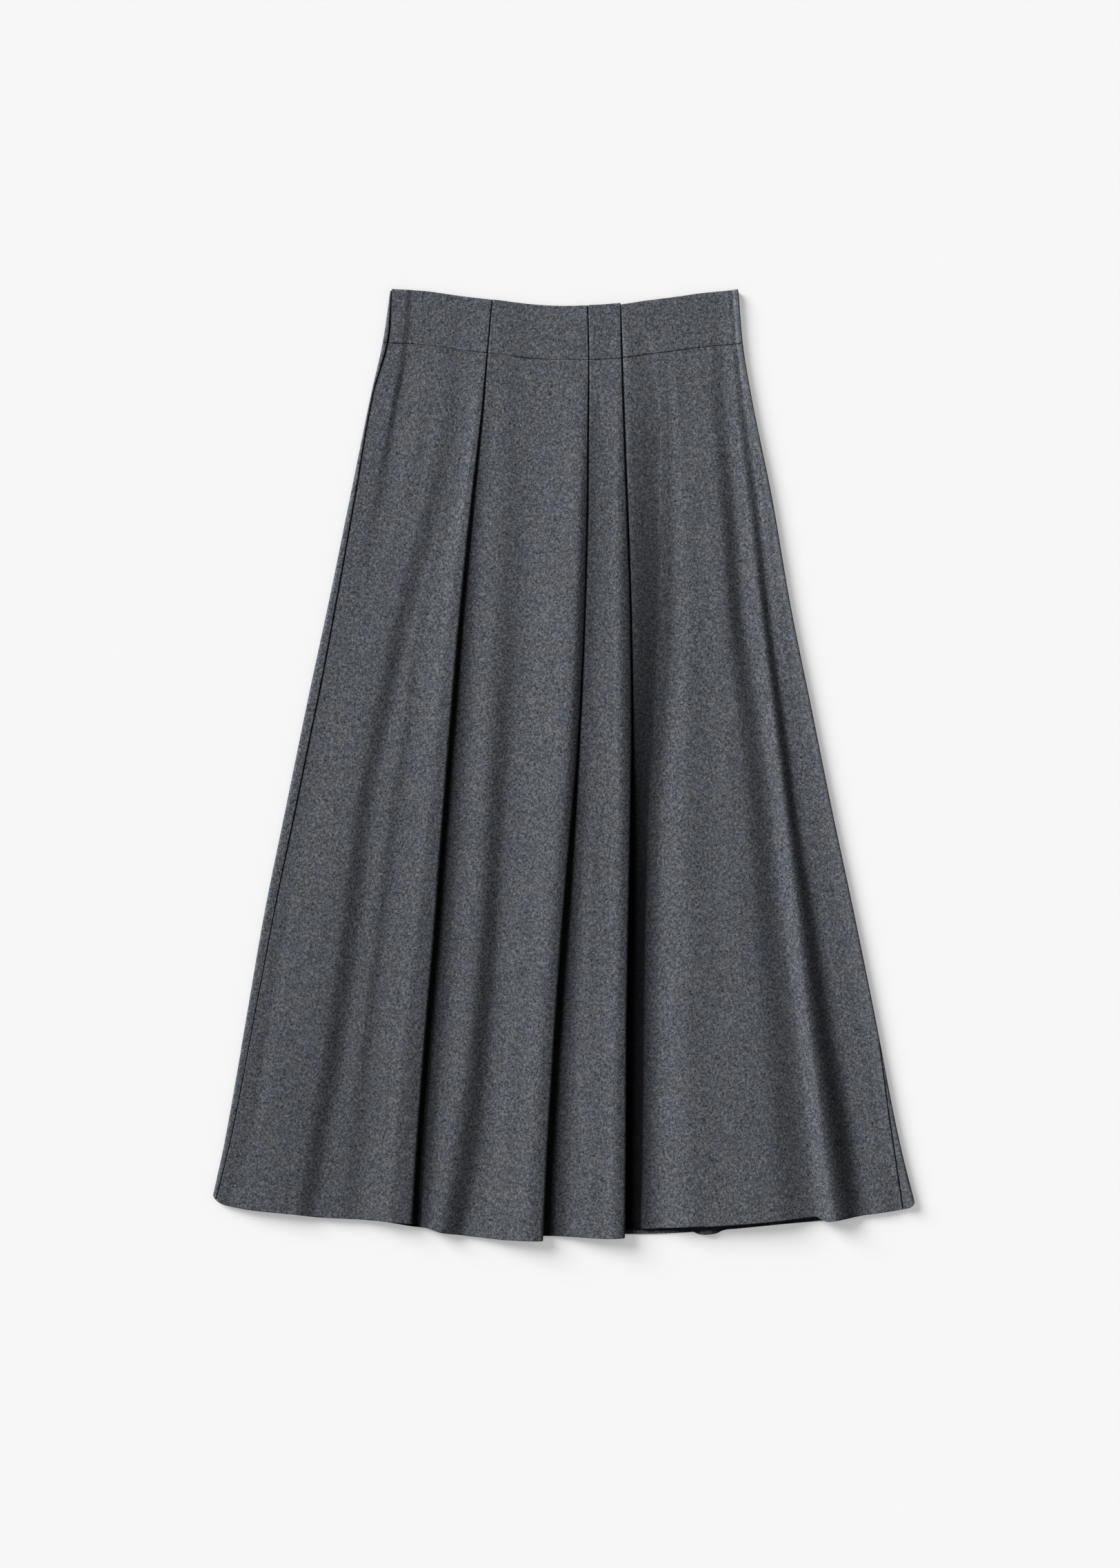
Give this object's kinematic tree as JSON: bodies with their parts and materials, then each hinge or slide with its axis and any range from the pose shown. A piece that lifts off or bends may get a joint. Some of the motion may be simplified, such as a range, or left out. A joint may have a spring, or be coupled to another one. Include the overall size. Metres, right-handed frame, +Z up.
{
  "type": "midi skirt",
  "caption": "A-line wool midi skirt with a waistband and knife pleats in the front, laid flat on its back.",
  "frame": {"origin": "centre of the rectangle that the skirt covers, on the surface it lies on", "axes": "+X across the skirt to the side away from the zip, +Y from hem to waist, +Z up out of the front"},
  "size_m": [0.6607, 0.8958, 0.0148],
  "materials": {
    "wool": "felted wool flannel, mid grey melange with a soft nap",
    "zip_tape": "woven polyester tape",
    "zip_metal": "dark satin enamel"
  },
  "bodies": {
    "root": {"front_skirt": "wool", "front_waistband": "wool", "back_skirt": "wool", "back_waistband": "wool", "zip_tape_front": "zip_tape", "zip_tape_back": "zip_tape", "zip_slider": "zip_metal"}
  },
  "joints": []
}
